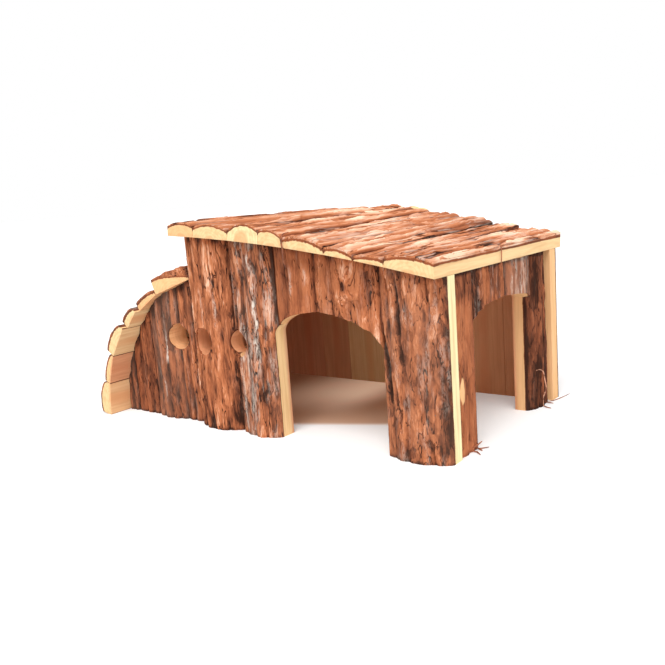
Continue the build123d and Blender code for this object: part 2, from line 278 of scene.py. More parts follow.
def arcHeight(circle, s):
    (middle, middleOut), radius = circle
    return middleOut + np.sqrt(np.maximum(radius**2 - (s - middle) ** 2, 0.01))


def barkArcs(width, bark, shares):
    # the bark in cross section: a circle through its three heights, and on it the arcs
    # from furrow to furrow, each with its right end
    left, crown, right = bark
    back = circleThrough((0, left), (width / 2, crown), (width, right))
    dips = [(0, 0), *((share, -furrows["depth"]) for share in shares), (1, 0)]
    arcs = []
    for (start, startLift), (stop, stopLift) in zip(dips, dips[1:]):
        places = np.array([start, (start + stop) / 2, stop]) * width
        heights = arcHeight(back, places) + np.array([startLift, furrows["rise"], stopLift])
        arcs.append(circleThrough(*zip(places, heights)))
    return back, arcs, np.array([stop for stop, lift in dips[1:]]) * width


def ridged(slab, s, t):
    # height of the ridges and furrows over the sawn face, with furrows that wander a
    # little between the slab's sides, and the height of the smooth back under them
    back, arcs, stops = slab["arcs"]
    free = np.sin(math.pi * np.clip(s / slab["width"], 0, 1))
    bendAlong, bendAcross = furrows["bend"]
    s = s + free * furrows["wander"] * wave(t / bendAlong, s / bendAcross, slab["seed"] + 40)
    fade = 0.3 + 0.7 * ease(t / slab["calmEnds"][0]) if "calmEnds" in slab else 1.0
    circles = np.array([(*centre, radius) for centre, radius in arcs])
    middle, middleOut, radius = circles[np.clip(np.searchsorted(stops, s), 0, len(arcs) - 1)].T
    smooth = arcHeight(back, s)
    return smooth + (arcHeight(((middle, middleOut), radius), s) - smooth) * fade, smooth


def backClimb(slab, t):
    # how much thicker the slab grows towards its far end
    return slab["bark"][1] * (slab.get("back", 1) - 1) * t / slab["length"]


def barkTop(slab, s, t):
    # height of the bark over the slab's sawn face
    return np.maximum(ridged(slab, s, t)[0] + backClimb(slab, t) + barkRelief(slab, s, t), 2.0)


def slabAt(origin, across, along, width, length, settings):
    # a slab's own frame: across its width, along its grain, and out through its bark
    slab = {**settings, "origin": np.array(origin, float), "width": width, "length": length}
    slab["across"] = np.array(across, float) / np.linalg.norm(across)
    slab["along"] = np.array(along, float) / np.linalg.norm(along)
    slab["out"] = np.cross(slab["across"], slab["along"])
    slab["arcs"] = barkArcs(width, slab["bark"], slab["furrows"])
    return slab


def blockSkin(across, along, out):
    # the places and faces of a block's whole outside, each as steps across, along and out:
    # six grids that share the places on their seams
    counts = np.array([across, along, out])
    quads = []
    for axis in range(3):
        first, second = (axis + 1) % 3, (axis + 2) % 3
        a, b = np.meshgrid(np.arange(counts[first]), np.arange(counts[second]), indexing="ij")
        for end, turn in ((0, (0, 3, 2, 1)), (counts[axis], (0, 1, 2, 3))):
            ring = []
            for moveA, moveB in ((0, 0), (1, 0), (1, 1), (0, 1)):
                place = np.zeros((*a.shape, 3), int)
                place[..., axis] = end
                place[..., first], place[..., second] = a + moveA, b + moveB
                ring.append(place.reshape(-1, 3))
            quads.append(np.stack([ring[i] for i in turn], axis=1))
    quads = np.concatenate(quads)
    rows, layers = counts[1] + 1, counts[2] + 1
    codes, faces = np.unique(quads @ np.array([rows * layers, layers, 1]), return_inverse=True)
    steps = np.stack([codes // (rows * layers), codes // layers % rows, codes % layers], axis=1)
    return steps, faces.reshape(-1, 4)


def addObject(name, data):
    made = bpy.data.objects.new(name, data)
    bpy.context.scene.collection.objects.link(made)
    return made


def meshFrom(name, places, faces):
    mesh = bpy.data.meshes.new(name)
    mesh.vertices.add(len(places))
    mesh.vertices.foreach_set("co", np.asarray(places * mm, np.float32).ravel())
    count = faces.shape[1]
    mesh.loops.add(faces.size)
    mesh.loops.foreach_set("vertex_index", faces.ravel().astype(np.int32))
    mesh.polygons.add(len(faces))
    mesh.polygons.foreach_set("loop_start", np.arange(0, faces.size, count, dtype=np.int32))
    mesh.update(calc_edges=True)
    mesh.validate()
    return addObject(name, mesh)


def placesOf(mesh):
    places = np.zeros(len(mesh.vertices) * 3, np.float32)
    mesh.vertices.foreach_get("co", places)
    return places.reshape(-1, 3).astype(float) / mm


def storeValues(mesh, name, kind, values):
    attribute = mesh.attributes.new(name, kind, "POINT")
    field = {"FLOAT": "value", "FLOAT_VECTOR": "vector", "FLOAT_COLOR": "color"}[kind]
    attribute.data.foreach_set(field, np.asarray(values, np.float32).ravel())


paint = {
    "warmth": (9, 45),  # the sizes of the bark's changes of tone, across the grain and along it
    "lichen": (3.5, 22),
    "shade": (12, 30),
    "streakBend": (14, 50, 1.5),
    "streakBreaks": (1.8, 8),
    "shadowBend": (16, 40, 1.5),
    "scarRim": (2, 5, 0.15),
    # how far the painted shade along a slab's sides reaches in
    "grimeReach": 3,
    # how far the painted shade at a wall's foot reaches up
    "footShadeReach": 3.5,
    "ridgeShare": 0.8,  # of the ridges' height in the relief that the material reads
    "logSpacing": 700.0,  # between the logs' stretches of the patterns
    "stretches": 23,  # before they repeat
}


def rightSide(slab, h):
    return slab["sides"][1] - slab.get("plumb", 0) * h


def woodDepth(slab, s, t, h):
    # how deep under the bark a place is, in millimetres. The skin of bark wraps round the
    # sawn sides, and stays thin beside the seam of two slats.
    ridges, back = ridged(slab, s, t)
    depth = np.minimum((barkTop(slab, s, t) - h) * 2, back + backClimb(slab, t) - h)
    fromSides = (s - slab["sides"][0], rightSide(slab, h) - s)
    for distance, wrap in zip(fromSides, slab.get("wrap", (3.0, 3.0))):
        depth = depth - wrap * ease(1.2 - distance / 0.6)
    for start, stop, reach, thickness in slab.get("thick", ()):
        depth = depth - thickness * np.clip((s - start) / (stop - start), 0, 1) * (t < reach)
    if "seam" in slab:
        thin = slab["skin"] * (0.6 + 3 * np.minimum(*fromSides) / slab["seam"])
        depth = np.where(h < 0.3, np.minimum(depth, thin), depth)
    return depth


def stripe(s, t, settings, bend, ends, seed):
    # a mark along the grain that bends a little and fades out at its ends
    middle, wide, low, high, strength = settings
    bent = bend[2] * ripple(t, t, bend, seed)
    inside = ease((t - low) / ends) * ease((high - t) / ends)
    return strength * inside * np.exp(-(((s - middle - bent) / wide) ** 2))


def barkTone(slab, s, t, h):
    # the bark's warmth, lichen, darkness and bareness at each place; the darkness also holds painted
    # shade
    warm, lichen, dark = slab["tone"]
    seed = slab["seed"]
    warmth = warm + 0.3 * ripple(s, t, paint["warmth"], seed + 31, layered)
    patches = ease(0.5 + 1.3 * ripple(s, t, paint["lichen"], seed + 33, layered) - 0.6 * (1 - lichen))
    patches = patches * lichen
    broken = 0.35 + 0.65 * ease(0.6 + 1.4 * ripple(s, t, paint["streakBreaks"], seed + 36))
    for streak in slab.get("streaks", ()):
        patches = np.maximum(patches, broken * stripe(s, t, streak, paint["streakBend"], 8, seed + 35))
    shade = dark + 0.3 * ripple(s, t, paint["shade"], seed + 37, layered)
    gap, pick = barkPlates(slab, s, t)
    shade = shade + barkKinds[slab["kind"]]["tone"] * ((0.5 - pick) + 0.5 * (1 - ease(gap / 0.12)))
    for shadow in slab.get("shadows", ()):
        shade = shade + stripe(s, t, shadow, paint["shadowBend"], 12, seed + 39)
    # painted shade along both sides of the slab, where the seams between slabs fall dark
    for distance, grime in zip((s, slab["width"] - s), slab.get("grime", (0.45, 0.45))):
        shade = shade + grime * (1 - ease(distance / paint["grimeReach"]))
    # painted shade at the foot: darker towards the bottom edge, where the wall stands on the floor
    shade = shade + slab.get("foot", 0) * (1 - ease(t / paint["footShadeReach"]))
    # painted shade under the roof: darker towards the top of the wall
    if "eavesShade" in slab:
        reach, strength = slab["eavesShade"]
        shade = shade + strength * (1 - ease((slab["top"](s, h) - t) / reach))
    bare = np.zeros(len(s))
    for middleS, middleT, wide, tall, amount in slab.get("scars", ()):
        rim = paint["scarRim"][2] * ripple(s, t, paint["scarRim"], seed + 38)
        away = np.hypot((s - middleS) / wide, (t - middleT) / tall)
        bare = np.maximum(bare, amount * ease((1.15 - away - rim) * 5))
    return np.clip(np.stack([warmth, patches, shade, bare], axis=1), 0, (1, 1, 1.5, 1))


def woodTone(slab, s, t, h, outside):
    # the sawn wood's painted shade, darker and redder inside the house, its freshness, and the bark's
    # brightness and contrast
    woodShade = np.where(h < 0.1, slab.get("woodShade", 0.0), slab.get("cutWoodShade", 0.0))
    # painted shade: sawn faces outside the right wall stand in the light and keep nearly the plain wood's
    # colour
    woodShade = np.where(outside, np.minimum(woodShade, 0.1), woodShade)
    # the walls of the window bores get a painted shade of their own
    for place in slab.get("windowPlaces", ()):
        fromBore = np.hypot(s - place, t - house["windowHeight"]) - house["windowDiameter"] / 2
        woodShade = np.where(np.abs(fromBore) < 0.05, slab.get("boreShade", 0.35), woodShade)
    fresh, contrast = np.full((2, len(s)), [[slab.get("fresh", 0)], [slab.get("contrast", 1)]])
    foot, head = np.broadcast_to(slab["light"], 2)
    light = foot + (head - foot) * t / slab["length"]
    return np.stack([woodShade, fresh, light, contrast], axis=1)


def paintSlab(piece, slab):
    # what the slab's material reads at each place: the place in the log and on the bark,
    # the depth under the bark, the bark's relief, and the tones of bark and wood
    mesh = piece.data
    places = placesOf(mesh)
    local = places - slab["origin"]
    s, t, h = local @ slab["across"], local @ slab["along"], local @ slab["out"]
    shift = paint["logSpacing"] * (slab["seed"] % paint["stretches"])
    pithS, pithOut = slab.get("pith", (slab["width"] / 2, -6.0))
    storeValues(mesh, "placeInLog", "FLOAT_VECTOR", np.stack([s - pithS, h - pithOut, t + shift], axis=1))
    x, y = wandered(slab, s, t)
    onBark = np.stack([x, h, y + shift], axis=1) / slab.get("scale", (1, 1, 1))
    storeValues(mesh, "placeOnBark", "FLOAT_VECTOR", onBark)
    storeValues(mesh, "barkDepth", "FLOAT", woodDepth(slab, s, t, h) / slab.get("skin", 1.0))
    ridges, back = ridged(slab, s, t)
    lift = barkRelief(slab, s, t) + paint["ridgeShare"] * (ridges - back)
    storeValues(mesh, "barkRelief", "FLOAT", lift)
    storeValues(mesh, "barkTone", "FLOAT_COLOR", barkTone(slab, s, t, h))
    outside = places[:, 0] > sideX + 1
    storeValues(mesh, "woodTone", "FLOAT_COLOR", woodTone(slab, s, t, h, outside))


coarse = 1.0
grain = {"across": 0.65 * coarse, "along": 0.95 * coarse, "levels": (0, 0.3, 0.55, 0.75, 0.9, 1)}


def buildSlab(name, slab, low=None, high=None):
    # a slab as a block bent to shape: steps across and along become places between its
    # sides and its two ends, and steps out climb from the sawn face to the bark
    width, length = slab["width"], slab["length"]
    slab["sides"] = (edge, width - edge)
    across, along = round(width / grain["across"]), round(length / grain["along"])
    levels = np.array(grain["levels"])
    steps, faces = blockSkin(across, along, len(levels) - 1)
    u, v, w = steps[:, 0] / across, steps[:, 1] / along, levels[steps[:, 2]]
    if slab.get("crowd") == "right":  # more steps where the doorway's edge is steep
        u = np.sin(u * math.pi / 2)
    if slab.get("crowd") == "left":
        u = 1 - np.cos(u * math.pi / 2)
    s = edge + (width - 2 * edge) * u
    nominal = w * slab["bark"][1]
    s = s - slab.get("plumb", 0) * nominal * u
    bottom = low(s) if low else np.zeros_like(s)
    top = high(s, nominal) if high else np.full_like(s, length)
    top = np.maximum(top, bottom + 0.5)
    t = bottom + (top - bottom) * v
    if "right" in slab:
        s = edge + (slab["right"](t) - 2 * edge) * u
        slab["sides"] = (edge, math.inf)
    inward = slab.get("inward", 0)
    h = w * (barkTop(slab, s, t) + inward) - inward
    places = slab["origin"] + np.outer(s, slab["across"]) + np.outer(t, slab["along"])
    return meshFrom(name, places + np.outer(h, slab["out"]), faces)


# Materials


def plug(tree, node, inputs):
    # sockets set to a value, or linked from another node's
    for key, value in inputs.items():
        if isinstance(value, bpy.types.NodeSocket):
            tree.links.new(value, node.inputs[key])
        else:
            node.inputs[key].default_value = value


def addNode(tree, kind, inputs=None, **settings):
    node = tree.nodes.new("ShaderNode" + kind)
    for key, value in settings.items():
        setattr(node, key, value)
    plug(tree, node, inputs or {})
    return node


def calc(tree, operation, *values, clamp=False):
    inputs = dict(enumerate(values))
    return addNode(tree, "Math", inputs, operation=operation, use_clamp=clamp).outputs[0]


def mixColour(tree, amount, a, b, blend="MIX"):
    node = addNode(tree, "Mix", {0: amount, 6: a, 7: b}, data_type="RGBA", blend_type=blend)
    return node.outputs[2]


def mixValue(tree, amount, a, b):
    return addNode(tree, "Mix", {0: amount, 2: a, 3: b}, data_type="FLOAT").outputs[0]


def remap(tree, value, low, high, start=0.0, stop=1.0):
    inputs = {0: value, 1: low, 2: high, 3: start, 4: stop}
    return addNode(tree, "MapRange", inputs, clamp=True, interpolation_type="SMOOTHSTEP").outputs[0]


def stretchedNoise(tree, place, across, along, detail, rough):
    # noise drawn out along the grain
    scale = {0: place, 1: (across, across, along)}
    stretched = addNode(tree, "VectorMath", scale, operation="MULTIPLY").outputs[0]
    inputs = {"Vector": stretched, "Scale": 1.0, "Detail": detail, "Roughness": rough}
    return addNode(tree, "TexNoise", inputs).outputs["Fac"]


def speckles(tree, scale):
    # fine even noise over a piece
    place = addNode(tree, "TexCoord").outputs["Object"]
    return addNode(tree, "TexNoise", {"Vector": place, "Scale": scale, "Detail": 3.0}).outputs["Fac"]


def newMaterial(name):
    material = bpy.data.materials.new(name)
    material.use_nodes = True
    return material, material.node_tree


def colour(red, green, blue):
    return (red, green, blue, 1.0)


woodColours = {
    "cream": colour(0.99, 0.94, 0.54),
    "pale": colour(0.94, 0.57, 0.28),
    "tan": colour(0.72, 0.38, 0.16),
    "heart": colour(0.82, 0.38, 0.16),
    # painted shade: a darker, redder tint for the sawn wood inside the house, for its shade and warm
    # bounce light
    "woodShadeTint": colour(0.78, 0.55, 0.60),
    "innerBark": colour(0.32, 0.09, 0.036),
    "crack": colour(0.045, 0.016, 0.009),
    "brown": colour(0.18, 0.056, 0.027),
    "red": colour(0.39, 0.125, 0.053),
    "orange": colour(0.58, 0.205, 0.088),
    "pink": colour(0.79, 0.40, 0.245),
    "blush": colour(0.95, 0.70, 0.49),
    "lichen": colour(0.80, 0.70, 0.60),
    "ash": colour(0.29, 0.175, 0.125),
}

# noises of the sawn wood: scale across and along the grain, detail and roughness
woodNoise = {
    "bend": (0.06, 0.012, 2.0, 0.5),
    "fibre": (2.0, 0.05, 3.0, 0.6),
    "speck": (0.22, 0.02, 3.0, 0.5),
}
rings = {"bend": 7.0, "perMm": 2.3, "heart": (13.0, 9.5)}

# noises of the bark, and how much each changes its level
barkNoise = {
    "broad": (0.12, 0.035, 3.0, 0.5, 0.6),
    "plates": (0.26, 0.055, 2.0, 0.5, 0.55),
    "flecks": (0.55, 0.075, 3.0, 0.55, 0.4),
    "fine": (1.8, 0.22, 2.0, 0.5, 0.25),
    "cracks": (0.17, 0.016, 2.0, 0.55, -0.4),
    "hairs": (0.4, 0.035, 1.0, 0.5, -0.14),
    "strokes": (0.6, 0.07, 2.0, 0.5, 0.22),
}
barkLevels = {"crack": 0.08, "brown": 0.24, "red": 0.42, "orange": 0.62, "pink": 0.8, "blush": 1.0}


def sawnWood(tree, place, woodShade, fresh):
    # year rings round the pith, with specks and finer fibres along the grain
    noises = {name: stretchedNoise(tree, place, *values) for name, values in woodNoise.items()}
    apart = addNode(tree, "SeparateXYZ", {0: place})
    flat = addNode(tree, "CombineXYZ", {0: apart.outputs[0], 1: apart.outputs[1]}).outputs[0]
    radius = addNode(tree, "VectorMath", {0: flat}, operation="LENGTH").outputs["Value"]
    radius = calc(tree, "MULTIPLY_ADD", noises["bend"], rings["bend"], radius)
    late = remap(tree, calc(tree, "SINE", calc(tree, "MULTIPLY", radius, rings["perMm"])), 0.2, 1.0)
    wood = mixColour(tree, fresh, woodColours["pale"], woodColours["cream"])
    wood = mixColour(tree, remap(tree, noises["speck"], 0.4, 0.7, 0.0, 0.4), wood, woodColours["tan"])
    wood = mixColour(tree, calc(tree, "MULTIPLY", late, 0.2), wood, woodColours["tan"])
    wood = mixColour(tree, remap(tree, radius, *rings["heart"], 0.0, 0.6), wood, woodColours["heart"])
    wood = mixColour(tree, remap(tree, noises["fibre"], 0.4, 0.75, 0.0, 0.3), wood, woodColours["tan"])
    # painted shade: the wood times a darker, redder tint, mixed in as far as the face lies in the house's
    # shade
    shadedWood = mixColour(tree, 1.0, wood, woodColours["woodShadeTint"], "MULTIPLY")
    return mixColour(tree, woodShade, wood, shadedWood), noises["fibre"]


def barkMarks(tree, place):
    # the bark's noises about 0. Fine cracks run where a stretched noise passes its middle,
    # and pale strokes where another one peaks.
    noises = {name: stretchedNoise(tree, place, *values[:4]) for name, values in barkNoise.items()}
    marks = {name: calc(tree, "SUBTRACT", noises[name], 0.5) for name in noises}
    marks["strokes"] = remap(tree, noises["strokes"], 0.62, 0.74)
    for name, wide, thin, among, start, stop in (
        ("cracks", 0.018, 0.005, "broad", 0.38, 0.5),
        ("hairs", 0.02, 0.004, "plates", 0.42, 0.55),
    ):
        line = remap(tree, calc(tree, "ABSOLUTE", marks[name]), wide, thin)
        marks[name] = calc(tree, "MULTIPLY", line, remap(tree, noises[among], start, stop))
    return noises, marks


def barkColour(tree, noises, marks, relief, warmth, lichen, shade, light, contrast):
    # the relief leads, from black cracks to worn plates, then ash on the cool bark and
    # lichen over it
    change = calc(tree, "MULTIPLY", relief, 0.15)
    for name, mark in marks.items():
        change = calc(tree, "MULTIPLY_ADD", mark, barkNoise[name][4], change)
    level = calc(tree, "MULTIPLY_ADD", change, contrast, light)
    level = calc(tree, "MULTIPLY_ADD", calc(tree, "SUBTRACT", shade, 0.3), -0.4, level)
    ramp = addNode(tree, "ValToRGB", {0: level})
    stops = ramp.color_ramp.elements
    stops[0].position, stops[0].color = barkLevels["crack"], woodColours["crack"]
    stops[1].position, stops[1].color = barkLevels["blush"], woodColours["blush"]
    for name in ("brown", "red", "orange", "pink"):
        stops.new(barkLevels[name]).color = woodColours[name]
    bark = ramp.outputs["Color"]
    greyed = mixColour(tree, 0.5, bark, woodColours["ash"])
    warmer = calc(tree, "MULTIPLY_ADD", noises["broad"], 0.5, warmth)
    bark = mixColour(tree, calc(tree, "SUBTRACT", 0.85, warmer, clamp=True), bark, greyed)
    crust = remap(tree, calc(tree, "ADD", noises["flecks"], noises["fine"]), 0.86, 1.08)
    return mixColour(tree, calc(tree, "MULTIPLY", lichen, crust), bark, woodColours["lichen"])


def slabMaterial():
    material, tree = newMaterial("barkAndSawnWood")
    read = {}
    for name in ("placeInLog", "placeOnBark", "barkDepth", "barkRelief", "barkTone", "woodTone"):
        read[name] = addNode(tree, "Attribute", attribute_name=name).outputs
    warmth, lichen, shade = addNode(tree, "SeparateColor", {0: read["barkTone"]["Color"]}).outputs
    woodShade, fresh, light = addNode(tree, "SeparateColor", {0: read["woodTone"]["Color"]}).outputs
    bare, contrast = read["barkTone"]["Alpha"], read["woodTone"]["Alpha"]
    wood, fibre = sawnWood(tree, read["placeInLog"]["Vector"], woodShade, fresh)
    noises, marks = barkMarks(tree, read["placeOnBark"]["Vector"])
    relief = read["barkRelief"]["Fac"]
    bark = barkColour(tree, noises, marks, relief, warmth, lichen, shade, light, contrast)

    # a skin of bark round the wood: its outside, then the reddish inner bark
    ragged = calc(tree, "MULTIPLY_ADD", marks["flecks"], 1.5, read["barkDepth"]["Fac"])
    darker = remap(tree, shade, 0.0, 0.4)
    inner = mixColour(tree, darker, woodColours["innerBark"], woodColours["brown"])
    surface = mixColour(tree, remap(tree, ragged, 0.5, 0.9), bark, inner)
    bareWood = calc(tree, "MAXIMUM", remap(tree, ragged, 1.45, 1.75), bare)
    surface = mixColour(tree, bareWood, surface, wood)

    rough = calc(tree, "MULTIPLY_ADD", marks["cracks"], -0.8, noises["fine"])
    height = mixColour(tree, bareWood, rough, fibre)
    strength = mixValue(tree, bareWood, 0.3, 0.1)
    bump = addNode(tree, "Bump", {"Height": height, "Strength": strength, "Distance": 0.0012})
    inputs = {"Base Color": surface, "Normal": bump.outputs[0], "Specular IOR Level": 0.1}
    inputs["Roughness"] = mixValue(tree, bareWood, 0.88, 0.62)
    plug(tree, tree.nodes["Principled BSDF"], inputs)
    return material


slabWood = slabMaterial()
windowDrill = {"turns": 72, "inside": 15, "outside": 40}


def cutWindow(piece, place):
    # a drilled hole through the front wall: a closed tube taken away from the slab
    turns = windowDrill["turns"]
    angle = np.linspace(0, 2 * math.pi, turns, endpoint=False)
    radius = house["windowDiameter"] / 2
    x, z = stepX + place + radius * np.cos(angle), house["windowHeight"] + radius * np.sin(angle)
    ends = (frontY + windowDrill["inside"], frontY - windowDrill["outside"])
    rims = np.concatenate([np.stack([x, np.full(turns, y), z], axis=1) for y in ends])
    near, following = np.arange(turns), (np.arange(turns) + 1) % turns
    sides = np.stack([near, following, following + turns, near + turns], axis=1)
    mesh = bpy.data.meshes.new("windowCutter")
    mesh.from_pydata(rims * mm, [], [*sides.tolist(), near[::-1].tolist(), (near + turns).tolist()])
    cutter = addObject("windowCutter", mesh)
    drill = piece.modifiers.new("drill", "BOOLEAN")
    drill.operation, drill.solver, drill.object = "DIFFERENCE", "MANIFOLD", cutter
    evaluated = piece.evaluated_get(bpy.context.evaluated_depsgraph_get())
    drilled = bpy.data.meshes.new_from_object(evaluated)
    drilled.materials.clear()
    piece.modifiers.remove(drill)
    piece.data = drilled
    bpy.data.objects.remove(cutter)


def dressSlab(name, slab, low=None, high=None, windows=()):
    piece = buildSlab(name + "_wood", slab, low, high)
    for window in windows:
        cutWindow(piece, window)
    paintSlab(piece, slab)
    piece.data.materials.append(slabWood)
    piece.data.shade_smooth()
    piece.data.set_sharp_from_angle(angle=math.radians(60))
    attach(piece, "root")
    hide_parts(name)


# The slabs. bark is the height over the sawn face at the left, the middle and the right,
# and furrows are shares of the width. tone is warmth, lichen and darkness. light is the
# bark's brightness, or a pair for its foot and its head. The wood's shade setting paints
# shade into the sawn wood, darker and redder inside the house, and fresh tints it paler.
# A streak of lichen or a shadow has its middle, half width, low end, high end and strength.
# A scar is bare wood: its middle, half width, half height and amount. A split has its two
# ends, width and depth, and a nick its two sides, place, slope, width and depth. inward is
# how much thicker a slab is on its inside than its solid.

# Front wall, from the lean-to to the corner

postLow, postHigh = corners("front_door_post")
postLeft = postLow[0] - edge - stepX
postWidth = postHigh[0] + edge - stepX - postLeft


def postRight(t):
    # the door post's right side follows the doorway
    return np.minimum(archLeft(frontDoor, t) - postLeft + edge, postWidth)


frontSlabs = {
    "front_lean_edge_slab": {
        "bark": (6, 9, 7), "furrows": (0.55,), "seed": 3, "slot": "grey_bark",
        "tone": (0.35, 0.1, 0.55), "light": 0.38, "contrast": 0.7, "inward": 9,
    },
    "front_lean_outer_slab": {
        "bark": (7, 9.5, 7.5), "furrows": (0.38, 0.71), "seed": 5, "slot": "grey_bark",
        "tone": (0.7, 0.1, 0.4), "light": 0.38, "contrast": 0.6, "inward": 9,
    },
    "front_lean_inner_slab": {
        "bark": (8, 14, 9), "furrows": (0.27, 0.58, 0.8), "seed": 8, "slot": "grey_bark",
        "tone": (0.22, 0.15, 0.35), "light": 0.37, "contrast": 0.75, "inward": 9, "windows": (0,),
        "streaks": ((25, 1.1, 52, 90, 1.4), (18, 1.2, 12, 45, 0.5)),
        "shadows": ((28, 5, 0, 128, 0.25), (8, 4, 20, 110, 0.3), (12, 9, 92, 150, 0.35)),
    },
    "front_lean_strip": {
        "bark": (8.5, 11, 8.5), "furrows": (0.46,), "seed": 11, "slot": "grey_bark",
        "tone": (0.5, 0.15, 0.4), "light": 0.42, "contrast": 0.8, "inward": 9, "windows": (0,),
        "shadows": ((21, 3, 0, 135, 0.4),),
    },
    "front_tall_slab": {
        "bark": (11.5, 22.5, 12), "furrows": (0.23, 0.46, 0.77), "seed": 14, "tone": (1, 0.05, 0.15),
        "light": (0.32, 0.65), "contrast": 1.2, "boreShade": 0.8, "windows": (1, 2),
        "streaks": ((22, 1, 95, 130, 0.5), (37, 1.2, 90, 140, 0.5)),
        "shadows": ((4, 4, 90, 175, 0.4), (51, 4, 0, 175, 0.8), (27, 26, 160, 190, 0.5)),
    },
    "front_door_post": {
        "bark": (12, 22.5, 12), "furrows": (0.17, 0.42, 0.68), "kind": "plated", "seed": 17,
        "slot": "lichen_bark", "tone": (0.45, 0.4, 0.3), "light": 0.43, "contrast": 1.2, "fresh": 0.3,
        "windows": (2,), "wrap": (3, 0.6), "grime": (0.6, 1.3), "right": postRight,
        "streaks": (
            (9, 3, 0, 60, 1), (14, 2.2, 62, 130, 0.8), (31, 2, 70, 160, 1), (20, 1.6, 0, 80, 0.8),
        ),
        "shadows": ((2, 3, 0, 175, 0.8), (23, 2.5, 0, 90, 0.5), (43, 6, 0, 175, 0.3)),
    },
    "front_lintel_left": {
        "bark": (11, 17, 11), "furrows": (0.36, 0.67), "kind": "smooth", "seed": 20,
        "tone": (0.95, 0.08, 0.2), "light": 0.39, "contrast": 0.6,
        "streaks": ((20, 1.3, 120, 150, 0.5), (33, 1.2, 128, 150, 0.5)),
    },
    "front_lintel_right": {
        "bark": (11, 19, 12), "furrows": (0.33, 0.61, 0.84), "kind": "smooth", "seed": 24,
        "tone": (0.9, 0.12, 0.2), "light": 0.45, "contrast": 0.8, "rough": 1.5, "scale": (1, 1, 0.75),
        "crowd": "right", "knots": ((32.5, 131, 7, 1),), "shadows": ((32.5, 2.6, 122, 140, 2.2),),
    },
    "front_corner_post": {
        "bark": (13, 22, 12), "furrows": (0.16, 0.39, 0.72), "kind": "plated", "seed": 27,
        "slot": "dark_bark", "tone": (0.42, 0.24, 0.15), "light": (0.37, 0.5), "contrast": 0.85,
        "scale": (1, 1, 0.6), "fresh": 1, "wrap": (3, 0), "calmSides": (1, 3),
        "splits": (
            (1, 104, 9, 42, 2, 6.5), (17, 142, 21, 72, 1.2, 4), (13, 66, 18, 20, 1, 2.5),
            (41, 148, 44, 100, 0.8, 2),
        ),
        "shadows": ((53, 4, 0, 150, 0.75),),
    },
}
# foot and eaves paint shade along a wall's bottom edge and under the roof
wallUsual = {
    "kind": "fibrous", "slot": "orange_bark", "woodShade": 1.0, "light": 0.45, "foot": 0.5, "eavesShade": (9, 0.5),
}


def dressUpright(name, settings, axis, way, face, door=None, doorFrom=0.0):
    # an upright slab of a wall, as wide as its solid in the frame. axis is 0 for x and 1 for
    # y, and way is 1 or -1, for which way the slab's width runs along it.
    low, high = corners(name)
    origin, across = np.zeros(3), np.zeros(3)
    origin[axis], origin[1 - axis] = (low if way > 0 else high)[axis] - way * edge, face
    across[axis] = way
    width = high[axis] - low[axis] + 2 * edge
    slab = slabAt(origin, across, (0, 0, 1), width, house["highWall"], {**wallUsual, **settings})
    windows = [house["windowPlaces"][number] for number in slab.get("windows", ())]
    slab["windowPlaces"] = [stepX + window - origin[0] for window in windows]
    line = slatTop if "lean" in name else roofTop

    def top(s, h):
        return line(origin[0] + across[0] * s + slab["out"][0] * h) - house["seat"]

    def bottom(s):
        return archTop(door, origin[axis] + s - doorFrom)

    slab["top"] = top
    dressSlab(name, slab, low=bottom if "lintel" in name else None, high=top, windows=windows)


for name, settings in frontSlabs.items():
    dressUpright(name, settings, axis=0, way=1, face=frontY, door=frontDoor, doorFrom=stepX)
print("front wall dressed")

# Back wall, from the lean-to to the corner

backSlabs = {
    "back_lean_edge_slab": {
        "bark": (7, 11, 6), "furrows": (0.52,), "seed": 41, "slot": "grey_bark",
        "tone": (0.4, 0.15, 0.4), "light": 0.42,
    },
    "back_lean_middle_slab": {
        "bark": (8, 15, 7), "furrows": (0.35, 0.69), "kind": "plated", "seed": 43,
        "slot": "grey_bark", "tone": (0.5, 0.2, 0.3), "light": 0.44,
    },
    "back_lean_inner_slab": {
        "bark": (9, 16, 8), "furrows": (0.29, 0.63), "seed": 45, "slot": "grey_bark",
        "tone": (0.35, 0.35, 0.3), "light": 0.42,
    },
    "back_tall_slab_1": {
        "bark": (11, 18, 9), "furrows": (0.41, 0.73), "seed": 47, "tone": (0.8, 0.15, 0.25),
        "woodShade": 0.8,
    },
    "back_tall_slab_2": {
        "bark": (12, 20, 11), "furrows": (0.25, 0.52, 0.78), "kind": "plated", "seed": 49,
        "tone": (0.55, 0.3, 0.2), "woodShade": 0.1, "fresh": 0.1,
    },
    "back_tall_slab_3": {
        "bark": (12, 19, 12), "furrows": (0.33, 0.7), "seed": 51, "tone": (0.7, 0.15, 0.25),
        "woodShade": 0.5,
    },
    "back_tall_slab_4": {
        "bark": (11, 17, 12), "furrows": (0.28, 0.6), "kind": "smooth", "seed": 53,
        "tone": (0.9, 0.15, 0.15),
    },
    "back_tall_slab_5": {
        "bark": (12, 19, 11), "furrows": (0.22, 0.49, 0.77), "kind": "plated", "seed": 55,
        "tone": (0.5, 0.4, 0.25), "woodShade": 0.75,
    },
    "back_corner_post": {
        "bark": (12, 20, 14), "furrows": (0.26, 0.57, 0.81), "kind": "plated", "seed": 57,
        "slot": "dark_bark", "tone": (0.5, 0.2, 0.3), "woodShade": 0.75, "wrap": (0, 3),
        "calmSides": (2, 0.8),
    },
}

for name, settings in backSlabs.items():
    # the lists read as the front's do, and from behind their left is on the right
    turned = {**settings, "bark": settings["bark"][::-1]}
    turned["furrows"] = [1 - share for share in reversed(settings["furrows"])]
    dressUpright(name, turned, axis=0, way=-1, face=backY)
print("back wall dressed")

# Right wall, from front to back

